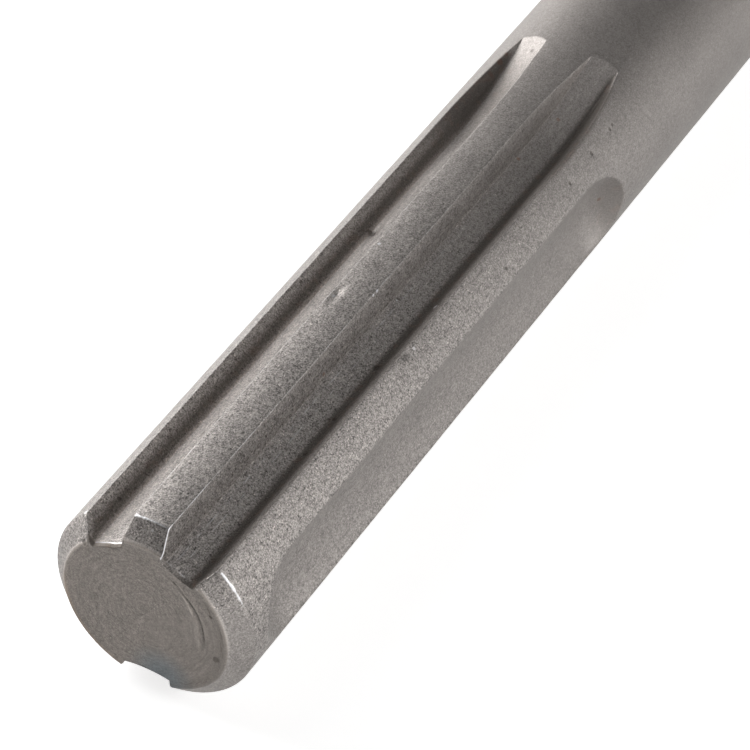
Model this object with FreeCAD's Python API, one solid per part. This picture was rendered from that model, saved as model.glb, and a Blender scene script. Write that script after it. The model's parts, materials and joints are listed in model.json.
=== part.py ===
import FreeCAD, Part
import math
import os

# Pointed chisel for a demolition hammer, forged in one piece, in millimetres.
# The origin is the centre of the striking face, +X runs along the axis to the point,
# and the rib between the two upper slots is on top, at +Z.
# An angle round the axis is counted from the rib, towards -Y.

# Bar
overall_length = 280.0
bar_diameter = 18.0

# Striking end
strike_chamfer_depth = 1.65
strike_chamfer_length = 1.5
strike_rim_radius = 0.4

# Open drive slots, all milled from the striking end by discs of one radius
slot_length = 69.7
slot_cutter_radius = 37.0

# The two upper slots, which leave the rib standing between them
upper_slot_angle = 25.6
upper_slot_width = 4.88
upper_slot_depth = 2.3
upper_slot_rib_flank_angle = 35.5
upper_slot_outer_flank_angle = 22.0
upper_slot_rib_corner_radius = 0.3
upper_slot_outer_corner_radius = 0.25
upper_slot_exit_angle = 6.5

# The lower slot, opposite the rib, with a hollow floor
lower_slot_angle = 180.0
lower_slot_width = 4.35
lower_slot_depth = 2.93
lower_slot_flank_angle = 2.0
lower_slot_floor_radius = 9.0

# Closed locking grooves, one on each side
lock_groove_angle = 90.0
lock_groove_start = 3.6
lock_groove_length = 59.8
lock_groove_depth = 2.3
lock_groove_radius = 7.0

# Four-sided point and the steeper tip ground on it
point_flat_angle = 7.4
point_back_corner_radius = 3.0
tip_width = 4.2
tip_corner_radius = 0.7
tip_flat_angle = 27.0
tip_end_width = 0.9
tip_end_corner_radius = 0.2

# How far a cutting body passes what it cuts
overcut = 2.0

bar_radius = bar_diameter / 2
AXIS = FreeCAD.Vector(1, 0, 0)


def outward(angle):
    """Unit vector that points out of the bar at an angle round the axis."""
    turn = math.radians(angle)
    return FreeCAD.Vector(0, -math.sin(turn), math.cos(turn))


def across(angle):
    """Unit vector at right angles to outward(angle), towards a larger angle."""
    turn = math.radians(angle)
    return FreeCAD.Vector(0, -math.cos(turn), -math.sin(turn))


def section_point(x, side, height, angle):
    """Point of a cross-section at x, in the frame of the plane through the axis at an angle."""
    return AXIS * x + across(angle) * side + outward(angle) * height


def rounded_wire(corners):
    """Closed wire through the corners, each a point and the radius that rounds it."""
    entries = []
    exits = []
    edges = []
    count = len(corners)
    for index, (corner, radius) in enumerate(corners):
        to_previous = (corners[index - 1][0] - corner).normalize()
        to_next = (corners[(index + 1) % count][0] - corner).normalize()
        half_angle = to_previous.getAngle(to_next) / 2
        setback = radius / math.tan(half_angle)
        entry = corner + to_previous * setback
        leave = corner + to_next * setback
        entries.append(entry)
        exits.append(leave)
        if radius > 0:
            bisector = (to_previous + to_next).normalize()
            middle = corner + bisector * (radius / math.sin(half_angle) - radius)
            edges.append(Part.Arc(entry, middle, leave).toShape())
    for index in range(count):
        start = exits[index]
        end = entries[(index + 1) % count]
        edges.append(Part.LineSegment(start, end).toShape())
    return Part.Wire(Part.__sortEdges__(edges))


def round_bar():
    """Bar turned to its full length, with the striking end's chamfer and rounded rim."""
    face_radius = bar_radius - strike_chamfer_depth
    chamfer_angle = math.atan2(strike_chamfer_depth, strike_chamfer_length)
    setback = strike_rim_radius * math.tan((math.pi / 2 - chamfer_angle) / 2)
    bisector = (math.pi / 2 + chamfer_angle) / 2
    rim_centre = FreeCAD.Vector(strike_rim_radius, face_radius - setback, 0)
    rim_start = FreeCAD.Vector(0, face_radius - setback, 0)
    rim_middle = rim_centre + FreeCAD.Vector(-math.sin(bisector), math.cos(bisector), 0) * strike_rim_radius
    rim_end = FreeCAD.Vector(math.cos(chamfer_angle), math.sin(chamfer_angle), 0) * setback
    rim_end = rim_end + FreeCAD.Vector(0, face_radius, 0)
    shoulder = FreeCAD.Vector(strike_chamfer_length, bar_radius, 0)
    far_rim = FreeCAD.Vector(overall_length, bar_radius, 0)
    far_centre = FreeCAD.Vector(overall_length, 0, 0)
    near_centre = FreeCAD.Vector(0, 0, 0)
    profile = Part.Wire([
        Part.LineSegment(near_centre, rim_start).toShape(),
        Part.Arc(rim_start, rim_middle, rim_end).toShape(),
        Part.LineSegment(rim_end, shoulder).toShape(),
        Part.LineSegment(shoulder, far_rim).toShape(),
        Part.LineSegment(far_rim, far_centre).toShape(),
        Part.LineSegment(far_centre, near_centre).toShape(),
    ])
    return Part.Face(profile).revolve(near_centre, AXIS, 360)


def rise_to_surface(point, direction):
    """How far a point of the section moves in a direction before it leaves the bar."""
    along = point.dot(direction)
    return math.sqrt(along ** 2 - point.dot(point) + bar_radius ** 2) - along


def flank_side(width, flank_angle, height):
    """Distance from a slot's middle plane to its flank, at a height above the bar's axis."""
    edge_height = math.sqrt(bar_radius ** 2 - (width / 2) ** 2)
    return width / 2 - (edge_height - height) * math.tan(math.radians(flank_angle))


def milled_slot(outline, floor_middle, exit_angle):
    """Space that a disc of the outline's shape mills: along the bar, then out on its radius."""
    lift = outward(exit_angle)
    rise = rise_to_surface(floor_middle, lift)
    run_out = math.sqrt(slot_cutter_radius ** 2 - (slot_cutter_radius - rise) ** 2)
    straight_end = slot_length - run_out
    face = Part.Face(outline)
    straight = face.extrude(AXIS * (straight_end + overcut))
    face.translate(AXIS * (straight_end + overcut))
    disc_centre = AXIS * straight_end + floor_middle + lift * slot_cutter_radius
    swing = math.degrees(math.acos(1 - (rise + overcut) / slot_cutter_radius))
    curved = face.revolve(disc_centre, AXIS.cross(lift), swing)
    return straight.fuse(curved)


def upper_slots():
    """The two slots beside the rib, one the mirror image of the other."""
    top = bar_radius + overcut
    floor = bar_radius - upper_slot_depth
    rib_floor = -flank_side(upper_slot_width, upper_slot_rib_flank_angle, floor)
    outer_floor = flank_side(upper_slot_width, upper_slot_outer_flank_angle, floor)
    rib_top = -flank_side(upper_slot_width, upper_slot_rib_flank_angle, top)
    outer_top = flank_side(upper_slot_width, upper_slot_outer_flank_angle, top)
    outline = rounded_wire([
        (section_point(-overcut, rib_top, top, upper_slot_angle), 0),
        (section_point(-overcut, rib_floor, floor, upper_slot_angle), upper_slot_rib_corner_radius),
        (section_point(-overcut, outer_floor, floor, upper_slot_angle), upper_slot_outer_corner_radius),
        (section_point(-overcut, outer_top, top, upper_slot_angle), 0),
    ])
    floor_middle = section_point(0, (rib_floor + outer_floor) / 2, floor, upper_slot_angle)
    slot = milled_slot(outline, floor_middle, upper_slot_exit_angle)
    twin = slot.mirror(FreeCAD.Vector(0, 0, 0), FreeCAD.Vector(0, 1, 0))
    return [slot, twin]


def lower_slot():
    """The single slot opposite the rib: equal flanks, and a floor hollowed to an arc."""
    top = bar_radius + overcut
    floor = bar_radius - lower_slot_depth
    half_floor = flank_side(lower_slot_width, lower_slot_flank_angle, floor)
    corner = floor + lower_slot_floor_radius - math.sqrt(lower_slot_floor_radius ** 2 - half_floor ** 2)
    half_top = flank_side(lower_slot_width, lower_slot_flank_angle, top)

    def place(side, height):
        return section_point(-overcut, side, height, lower_slot_angle)

    outline = Part.Wire([
        Part.LineSegment(place(-half_top, top), place(-half_floor, corner)).toShape(),
        Part.Arc(place(-half_floor, corner), place(0, floor), place(half_floor, corner)).toShape(),
        Part.LineSegment(place(half_floor, corner), place(half_top, top)).toShape(),
        Part.LineSegment(place(half_top, top), place(-half_top, top)).toShape(),
    ])
    floor_middle = section_point(0, 0, floor, lower_slot_angle)
    return milled_slot(outline, floor_middle, lower_slot_angle)


def lock_groove(angle):
    """Round-bottomed locking groove, closed by a ball-shaped end at each side."""
    axis_height = bar_radius - lock_groove_depth + lock_groove_radius
    end_reach = math.sqrt(lock_groove_radius ** 2 - (axis_height - bar_radius) ** 2)
    near = lock_groove_start + end_reach
    far = lock_groove_start + lock_groove_length - end_reach
    diagonal = lock_groove_radius * math.sqrt(0.5)

    def place(x, drop):
        return section_point(x, 0, axis_height - drop, angle)

    profile = Part.Wire([
        Part.Arc(place(near - lock_groove_radius, 0), place(near - diagonal, diagonal),
                 place(near, lock_groove_radius)).toShape(),
        Part.LineSegment(place(near, lock_groove_radius), place(far, lock_groove_radius)).toShape(),
        Part.Arc(place(far, lock_groove_radius), place(far + diagonal, diagonal),
                 place(far + lock_groove_radius, 0)).toShape(),
        Part.LineSegment(place(far + lock_groove_radius, 0),
                         place(near - lock_groove_radius, 0)).toShape(),
    ])
    return Part.Face(profile).revolve(place(near, 0), AXIS, 360)


def square_section(x, half_width, corner_radius):
    """Square cross-section with rounded corners, its sides up, down and to both sides."""
    signs = ((1, 1), (1, -1), (-1, -1), (-1, 1))
    return rounded_wire([
        (FreeCAD.Vector(x, y * half_width, z * half_width), corner_radius) for y, z in signs
    ])


def point_waste():
    """What is ground off the bar's end to leave the four-sided point and its tip."""
    tip_length = (tip_width - tip_end_width) / 2 / math.tan(math.radians(tip_flat_angle))
    tip_start = overall_length - tip_length
    back_half_width = bar_radius + overcut
    taper_length = (back_half_width - tip_width / 2) / math.tan(math.radians(point_flat_angle))
    taper_start = tip_start - taper_length
    point = Part.makeLoft([
        square_section(taper_start, back_half_width, point_back_corner_radius),
        square_section(tip_start, tip_width / 2, tip_corner_radius),
        square_section(overall_length, tip_end_width / 2, tip_end_corner_radius),
    ], True, True)
    stock_radius = 2 * back_half_width
    stock = Part.makeCylinder(stock_radius, taper_length + tip_length + overcut,
                              AXIS * taper_start, AXIS)
    return stock.cut(point)


def chisel():
    """The whole chisel, cut from its bar."""
    cuts = upper_slots()
    cuts.append(lower_slot())
    cuts.append(lock_groove(lock_groove_angle))
    cuts.append(lock_groove(-lock_groove_angle))
    cuts.append(point_waste())
    return round_bar().cut(cuts).Solids[0]


def main():
    """Build the chisel and write it."""
    os.makedirs("parts", exist_ok=True)
    shape = chisel()
    shape.exportStep("parts/chisel.step")
    box = shape.BoundBox
    print("chisel: valid", shape.isValid(), "faces", len(shape.Faces), "volume", round(shape.Volume, 1))
    print("size", round(box.XLength, 2), round(box.YLength, 2), round(box.ZLength, 2))


main()
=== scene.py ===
import json
import logging
import math
from collections.abc import Callable
from dataclasses import dataclass, field, replace
from enum import Enum

import bmesh
import bpy
from mathutils import Matrix, Vector, noise

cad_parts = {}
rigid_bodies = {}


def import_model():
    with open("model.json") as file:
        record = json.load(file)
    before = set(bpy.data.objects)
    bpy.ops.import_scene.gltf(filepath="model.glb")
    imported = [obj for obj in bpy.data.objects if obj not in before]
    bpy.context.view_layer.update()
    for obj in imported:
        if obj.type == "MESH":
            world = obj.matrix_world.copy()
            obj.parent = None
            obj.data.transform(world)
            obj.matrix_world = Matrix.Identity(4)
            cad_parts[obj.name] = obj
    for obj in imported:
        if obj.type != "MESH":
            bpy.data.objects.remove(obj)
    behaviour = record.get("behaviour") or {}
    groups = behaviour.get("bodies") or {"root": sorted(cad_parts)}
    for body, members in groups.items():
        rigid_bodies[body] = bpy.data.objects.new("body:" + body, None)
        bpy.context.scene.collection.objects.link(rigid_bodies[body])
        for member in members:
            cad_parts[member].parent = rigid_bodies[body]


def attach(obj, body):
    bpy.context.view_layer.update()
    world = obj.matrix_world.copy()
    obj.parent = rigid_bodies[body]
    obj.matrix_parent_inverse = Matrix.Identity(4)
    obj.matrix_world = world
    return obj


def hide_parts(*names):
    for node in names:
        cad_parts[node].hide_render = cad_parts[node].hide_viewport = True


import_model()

# A steel pointed chisel, lying on a pale floor with the rib of its shank on top.
# Lengths of the chisel are in millimetres until a mesh is finished, and metres after that.
# An angle round the bar is counted from the rib, towards -Y.

logging.basicConfig(level=logging.INFO, format="%(message)s")
LOG = logging.getLogger("chisel_scene")

MILLIMETRE = 0.001
# Masks kept on the mesh for the material. The dark corners and hollows are soiling and painted shade,
# the lighter slot floors and rim are painted light, and the bright edges are wear and painted
# highlights.
ATTRIBUTES = ("edge", "painted_shade_and_dirt", "milled", "groove", "face", "painted_light", "lip")


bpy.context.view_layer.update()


def outward(angle: float) -> Vector:
    """Give the direction out of the bar, as (y, z), at an angle in degrees."""
    turn = math.radians(angle)
    return Vector((-math.sin(turn), math.cos(turn)))


def across(angle: float) -> Vector:
    """Give the direction at right angles to outward(angle), towards a larger angle."""
    turn = math.radians(angle)
    return Vector((-math.cos(turn), -math.sin(turn)))


def angle_of(point: Vector) -> float:
    """Give the angle round the bar of a (y, z) point, from -180 to 180 degrees."""
    return math.degrees(math.atan2(-point.x, point.y))


def smooth_step(value: float, low: float, high: float) -> float:
    """Rise smoothly from 0 at low to 1 at high."""
    share = min(max((value - low) / (high - low), 0.0), 1.0)
    return share * share * (3.0 - 2.0 * share)


def soft_least(first: float, second: float, blend: float) -> float:
    """Give the lesser of two radii, rounded where they differ by less than the blend."""
    share = min(max(0.5 + 0.5 * (second - first) / blend, 0.0), 1.0)
    return second + (first - second) * share - blend * share * (1.0 - share)


def even_steps(start: float, end: float, count: int) -> list[float]:
    """Give count evenly spaced values after start, the last of them end."""
    return [start + (end - start) * (index + 1) / count for index in range(count)]


def stretches(start: float, *parts: tuple[float, int]) -> list[float]:
    """Give evenly spaced values over several stretches.

    Args:
        start: Where the first stretch starts.
        parts: The end of each stretch and its number of values.

    Returns:
        The values after the start.
    """
    values = []
    for end, count in parts:
        values += even_steps(start, end, count)
        start = end
    return values


def bell(value: float, middle: float, width: float) -> float:
    """Give 1 at the middle, falling smoothly to nothing within a few widths of it."""
    return math.exp(-((value - middle) / width) ** 2)


def rounded(start: Vector, corner: Vector, end: Vector, count: int) -> list[tuple[Vector, float]]:
    """Round a corner.

    Args:
        start: Where the rounding starts.
        corner: The corner itself.
        end: Where the rounding ends.
        count: Number of points.

    Returns:
        Points after the start, the last of them the end, each with its share of the way.
    """
    return [(start.lerp(corner, share).lerp(corner.lerp(end, share), share), share)
            for share in even_steps(0.0, 1.0, count)]


@dataclass(frozen=True)
class Node:
    """A vertex of a cross-section, before dents are pressed into it.

    Attributes:
        x: Distance from the striking face.
        place: The (y, z) point of the section.
        edge: How much it lies on an outer edge worn bright and painted with a highlight, from 0 to 1.
        painted_shade_and_dirt: How dirty it is and how much painted shade lies on it, in an inner
            corner or hollow, from 0 to 1.
        milled: How much it lies on a milled slot's surface, from 0 to 1.
        groove: How much it lies in a locking groove, from 0 to 1.
        face: How much it has the finish of the striking face, from 0 to 1.
        painted_light: How much painted light lightens it, on a slot's floor and as a painted
            highlight on the rim, from 0 to 1.
        lip: 1 on the ridge of the crescent lip on the striking face, and -1 in its furrow.
    """

    x: float
    place: Vector
    edge: float = 0.0
    painted_shade_and_dirt: float = 0.0
    milled: float = 0.0
    groove: float = 0.0
    face: float = 0.0
    painted_light: float = 0.0
    lip: float = 0.0


@dataclass(frozen=True)
class Path:
    """The line of a slot in one cross-section, from one of its edges to the other."""

    points: tuple[Vector, ...]
    near_corner: float
    far_corner: float

    def across_floor(self, mark: float) -> float:
        """Give how far across the floor a distance along the path is, from 0 to 1 on the floor."""
        return (mark - self.near_corner) / max(self.far_corner - self.near_corner, 0.1)

    def grime_and_shade(self, mark: float, length: float, start: float) -> float:
        """Give how dirty the slot is and how much painted shade lies on it, which is most low on the
        far flank, where its corner lies in shade.

        Args:
            mark: Distance along the path.
            length: Length of the path.
            start: Where the soiling and painted shade start, as a distance up the far flank from its
                foot.

        Returns:
            The soiling and painted shade, from 0 to 1.
        """
        flank = length - self.far_corner
        rise = mark - self.far_corner
        share = rise / max(flank, 0.3)
        # Painted shade with soiling, darkest just above the far flank's foot and fading up the flank.
        far_dirt_and_shade = smooth_step(rise, start, start + 0.5) * (1 - smooth_step(share, 0.3, 0.75))
        far_dirt_and_shade *= 0.85 * smooth_step(flank, 0.0, 0.5)
        # A faint band of painted shade at the near corner's foot.
        near_dirt_and_shade = 0.2 * bell(mark, self.near_corner, 0.2) * smooth_step(self.near_corner, 0.0, 1.2)
        return max(far_dirt_and_shade, near_dirt_and_shade)

    def painted_floor_light(self, mark: float, x: float) -> float:
        """Give how much painted light lightens the floor, which is most towards the far flank, where
        the flank's shadow falls.

        Args:
            mark: Distance along the path.
            x: Distance from the striking face.

        Returns:
            The painted light, from 0 on the near half of the floor to 1 at the far flank's foot.
        """
        on_floor = 1 - smooth_step(mark, self.far_corner, self.far_corner + 0.18)
        share = smooth_step(self.across_floor(mark), 0.42, 0.92)
        return share * on_floor * (1 - smooth_step(x, 50.0, 57.0))

    def lengths(self) -> list[float]:
        """Give the distance along the path of each of its points."""
        total = 0.0
        result = [0.0]
        for first, second in zip(self.points, self.points[1:]):
            total += (second - first).length
            result.append(total)
        return result

    def sampler(self) -> tuple[Callable[[float], Vector], float]:
        """Give a function from a distance along the path to its point, and the path's length."""
        marks = self.lengths()
        points = self.points

        def point_at(length: float) -> Vector:
            """Give the path's point at a distance along it."""
            wanted = min(max(length, 0.0), marks[-1])
            index = 1
            while index < len(marks) - 1 and marks[index] < wanted:
                index += 1
            step = marks[index] - marks[index - 1]
            share = (wanted - marks[index - 1]) / step if step > 0 else 0.0
            return points[index - 1].lerp(points[index], share)

        return point_at, marks[-1]


@dataclass(frozen=True)
class MilledSlot:
    """An open drive slot, milled from the striking end by a disc and run out on its radius.

    Attributes:
        angle: Where the slot's middle plane lies round the bar.
        width: Width between the slot's edges on the bar's surface.
        depth: Depth of the floor below the bar's surface.
        near_flank_angle: Slope of the flank at the smaller angle round the bar.
        far_flank_angle: Slope of the other flank.
        near_fillet: Radius between the near flank and the floor.
        far_fillet: Radius between the far flank and the floor.
        exit_angle: Direction in which the disc leaves the bar.
        hollow_radius: Radius of a hollow floor, or None for a flat one.
    """

    angle: float
    width: float
    depth: float
    near_flank_angle: float
    far_flank_angle: float
    near_fillet: float
    far_fillet: float
    exit_angle: float
    hollow_radius: float | None = None
    length: float = 69.7
    cutter_radius: float = 37.0
    bar_radius: float = 9.0
    flank_reach: float = 2.0
    flank_samples: int = 6
    floor_samples: int = 14

    @property
    def floor_height(self) -> float:
        """Distance of the floor's middle from the bar's axis."""
        return self.bar_radius - self.depth

    def opened(self, distance: float) -> "MilledSlot":
        """Give the slot as it is where its end at the striking face is rounded off."""
        return replace(self, width=self.width + 2.2 * distance, depth=self.depth + distance)

    def setback(self, flank_angle: float, fillet: float) -> float:
        """Give how far the fillet at a flank's foot reaches along the flank and the floor."""
        return fillet * math.tan(math.radians(90.0 - flank_angle) / 2)

    def flank_side(self, flank_angle: float, height: float) -> float:
        """Give the distance from the slot's middle plane to a flank, at a height."""
        edge_height = math.sqrt(self.bar_radius ** 2 - (self.width / 2) ** 2)
        return self.width / 2 - (edge_height - height) * math.tan(math.radians(flank_angle))

    def place(self, side: float, height: float) -> Vector:
        """Give the (y, z) point at a side and a height in the slot's own frame."""
        return across(self.angle) * side + outward(self.angle) * height

    def floor_ends(self) -> tuple[float, float]:
        """Give how far the floor reaches to each side of the middle plane."""
        near = -self.flank_side(self.near_flank_angle, self.floor_height)
        far = self.flank_side(self.far_flank_angle, self.floor_height)
        return near, far

    def floor_point(self, side: float) -> Vector:
        """Give the point of the floor at a side."""
        height = self.floor_height
        if self.hollow_radius is not None:
            height += self.hollow_radius - math.sqrt(self.hollow_radius ** 2 - side ** 2)
        return self.place(side, height)

    def floor_middle(self) -> Vector:
        """Give the middle of the floor, which the disc's lift is measured from."""
        near, far = self.floor_ends()
        return self.place((near + far) / 2, self.floor_height)

    def straight_end(self) -> float:
        """Give the distance from the striking face at which the disc begins to rise."""
        middle = self.floor_middle()
        along = middle.dot(outward(self.exit_angle))
        rise = math.sqrt(along ** 2 - middle.dot(middle) + self.bar_radius ** 2) - along
        return self.length - math.sqrt(self.cutter_radius ** 2 - (self.cutter_radius - rise) ** 2)

    def lifted(self, point: Vector, x: float) -> Vector:
        """Move a point of the slot's outline with the rising disc.

        Args:
            point: The (y, z) point in the straight part.
            x: Distance from the striking face.

        Returns:
            The point of the same line of the cutter at that distance.
        """
        reach = max(0.0, min(x, self.length) - self.straight_end())
        lift = outward(self.exit_angle)
        height = (point - self.floor_middle()).dot(lift)
        turned = self.cutter_radius - height
        rise = self.cutter_radius - math.sqrt(turned ** 2 - reach ** 2)
        return point + lift * (rise - height)

    def flank_line(self, foot: Vector, top: Vector, x: float, radius: float) -> list[Vector]:
        """Give the points of a flank from the bar's surface down to its foot.

        Args:
            foot: Lowest point of the flank in the straight part.
            top: A point of the flank outside the bar.
            x: Distance from the striking face.
            radius: Radius of the bar there.

        Returns:
            The points, without the foot, or nothing if the foot is outside the bar.
        """
        if self.lifted(foot, x).length >= radius:
            return []
        low, high = 0.0, 1.0
        for _ in range(30):
            middle = (low + high) / 2
            if self.lifted(foot.lerp(top, middle), x).length < radius:
                low = middle
            else:
                high = middle
        shares = [low * (1 - index / self.flank_samples) for index in range(self.flank_samples)]
        return [self.lifted(foot.lerp(top, share), x) for share in shares]

    def path(self, x: float, radius: float) -> Path:
        """Give the slot's line in the cross-section at x.

        Args:
            x: Distance from the striking face.
            radius: Radius of the bar there.

        Returns:
            The path from the near edge to the far edge. Where the disc has left the bar, it
            follows the bar's surface.
        """
        near, far = self.floor_ends()
        top = self.bar_radius + self.flank_reach
        near_top = self.place(-self.flank_side(self.near_flank_angle, top), top)
        far_top = self.place(self.flank_side(self.far_flank_angle, top), top)
        near_line = self.flank_line(self.floor_point(near), near_top, x, radius)
        far_line = self.flank_line(self.floor_point(far), far_top, x, radius)
        floor = []
        for side in [near] + even_steps(near, far, self.floor_samples):
            point = self.lifted(self.floor_point(side), x)
            if point.length > radius:
                point = point.normalized() * radius
            floor.append(point)
        points = near_line + floor + far_line[::-1]
        whole = Path(tuple(points), 0.0, 0.0)
        marks = whole.lengths()
        return Path(tuple(points), marks[len(near_line)], marks[len(near_line) + len(floor) - 1])


class End(Enum):
    """The two ends of a locking groove, as the direction in which each closes."""

    NEAR = -1
    FAR = 1


@dataclass(frozen=True)
class LockGroove:
    """A closed, round-bottomed locking groove with a ball-shaped end at each side."""

    angle: float = 90.0
    start: float = 3.6
    length: float = 59.8
    depth: float = 2.3
    radius: float = 7.0
    bar_radius: float = 9.0
    edge_blend: float = 0.24
    side_margin: float = 0.7
    end_margin: float = 0.33

    @property
    def axis_height(self) -> float:
        """Distance from the bar's axis to the groove's own axis."""
        return self.bar_radius - self.depth + self.radius

    @property
    def end_reach(self) -> float:
        """How far the groove's edge reaches past the middle of its ball-shaped end."""
        return math.sqrt(self.radius ** 2 - (self.axis_height - self.bar_radius) ** 2)

    @property
    def half_turn(self) -> float:
        """Angle from the groove's middle to its straight edge, in radians."""
        reach = self.bar_radius ** 2 + self.axis_height ** 2 - self.radius ** 2
        return math.acos(reach / (2 * self.bar_radius * self.axis_height))

    def ball_middle(self, end: End) -> float:
        """Give the x of the middle of a ball-shaped end."""
        if end is End.NEAR:
            return self.start + self.end_reach
        return self.start + self.length - self.end_reach

    def wall(self, x: float, turn: float) -> float | None:
        """Give the groove's distance from the bar's axis.

        Args:
            x: Distance from the striking face.
            turn: Angle from the groove's middle, in radians.

        Returns:
            The distance, or None where the groove isn't met.
        """
        near, far = self.ball_middle(End.NEAR), self.ball_middle(End.FAR)
        beyond = max(near - x, x - far, 0.0)
        if beyond >= self.radius:
            return None
        section = self.radius ** 2 - beyond ** 2 - (self.axis_height * math.sin(turn)) ** 2
        if section <= 0:
            return None
        return self.axis_height * math.cos(turn) - math.sqrt(section)

    def bend(self, x: float, turn: float) -> tuple[float, float]:
        """Bend a square grid so that its lines follow the groove's rounded ends.

        Args:
            x: Distance from the striking face.
            turn: Angle from the groove's middle, in radians.

        Returns:
            The x and the turn that the grid's point moves to.
        """
        end = End.NEAR if x < self.start + self.length / 2 else End.FAR
        middle = self.ball_middle(end)
        along = (x - middle) * end.value / self.end_reach
        if along <= 0:
            return x, turn
        flat = 1 - math.cos(self.half_turn)
        aside = math.copysign(math.sqrt((1 - math.cos(turn)) / flat), turn)
        inner_along = min(along, 1.0)
        inner_aside = min(max(aside, -1.0), 1.0)
        fade = max(0.0, 1 - max(0.0, along - 1) / self.end_margin)
        fade *= max(0.0, 1 - max(0.0, abs(aside) - 1) / self.side_margin)
        along += fade * inner_along * (math.sqrt(1 - inner_aside ** 2 / 2) - 1)
        aside += fade * inner_aside * (math.sqrt(1 - inner_along ** 2 / 2) - 1)
        bent = math.copysign(math.acos(1 - flat * aside ** 2), aside)
        return middle + along * end.value * self.end_reach, bent

    def node(self, x: float, angle: float, radius: float) -> Node:
        """Give the vertex of the bar's or the groove's surface at an angle.

        Args:
            x: Distance from the striking face, on the square grid.
            angle: Angle round the bar, on the square grid.
            radius: Radius of the bar there.

        Returns:
            The vertex, on the bent grid.
        """
        x, turn = self.bend(x, math.radians(angle - self.angle))
        wall = self.wall(x, turn)
        edge = inside = 0.0
        if wall is not None and wall < radius + self.edge_blend:
            edge = max(0.0, 1 - abs(wall - radius) / self.edge_blend)
            inside = smooth_step(radius - wall, -0.05, 0.15)
            radius = soft_least(radius, wall, self.edge_blend)
        place = outward(self.angle + math.degrees(turn)) * radius
        end = self.start + self.length
        # Darker inside the groove towards its far end: soiling and painted shade in the hollow.
        dirt_and_shade = 0.4 * inside * smooth_step(x, end - 4.0, end - 1.0)
        return Node(x, place, edge=0.3 * edge, painted_shade_and_dirt=dirt_and_shade, groove=inside)


@dataclass(frozen=True)
class PointTaper:
    """The four-sided ground point and the steeper tip ground on it."""

    overall_length: float = 280.0
    bar_radius: float = 9.0
    flat_angle: float = 7.4
    back_half_width: float = 11.0
    back_corner_radius: float = 3.0
    tip_half_width: float = 2.1
    tip_corner_radius: float = 0.7
    tip_flat_angle: float = 27.0
    end_half_width: float = 0.45
    end_corner_radius: float = 0.2
    edge_blend: float = 0.05

    @property
    def tip_start(self) -> float:
        """Where the steeper tip begins."""
        drop = self.tip_half_width - self.end_half_width
        return self.overall_length - drop / math.tan(math.radians(self.tip_flat_angle))

    @property
    def taper_start(self) -> float:
        """Where the flats would meet the square that is wider than the bar."""
        drop = self.back_half_width - self.tip_half_width
        return self.tip_start - drop / math.tan(math.radians(self.flat_angle))

    def square(self, x: float) -> tuple[float, float]:
        """Give the half width and the corner radius of the square section at x."""
        if x < self.tip_start:
            share = (x - self.taper_start) / (self.tip_start - self.taper_start)
            widths = (self.back_half_width, self.tip_half_width)
            corners = (self.back_corner_radius, self.tip_corner_radius)
        else:
            share = (x - self.tip_start) / (self.overall_length - self.tip_start)
            widths = (self.tip_half_width, self.end_half_width)
            corners = (self.tip_corner_radius, self.end_corner_radius)
        share = min(share, 1.0)
        return (widths[0] + (widths[1] - widths[0]) * share,
                corners[0] + (corners[1] - corners[0]) * share)

    def node(self, x: float, angle: float) -> Node:
        """Give the vertex of the round bar or of the point at an angle.

        Args:
            x: Distance from the striking face.
            angle: Angle round the bar.

        Returns:
            The vertex.
        """
        if x < self.taper_start:
            return Node(x, outward(angle) * self.bar_radius)
        half_width, corner = self.square(x)
        turn = math.radians(abs((angle + 45.0) % 90.0 - 45.0))
        reach = half_width / math.cos(turn)
        if reach * math.sin(turn) > half_width - corner:
            along = (half_width - corner) * (math.cos(turn) + math.sin(turn))
            reach = along + math.sqrt(corner ** 2 - 2 * (half_width - corner) ** 2 + along ** 2)
        edge = max(0.0, 1 - abs(reach - self.bar_radius) / (4 * self.edge_blend))
        radius = soft_least(self.bar_radius, reach, self.edge_blend)
        return Node(x, outward(angle) * radius, edge=0.6 * edge)


@dataclass(frozen=True)
class Station:
    """A cross-section's place along the bar and the bar's radius there."""

    x: float
    radius: float
    inset: float = 0.0


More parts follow.
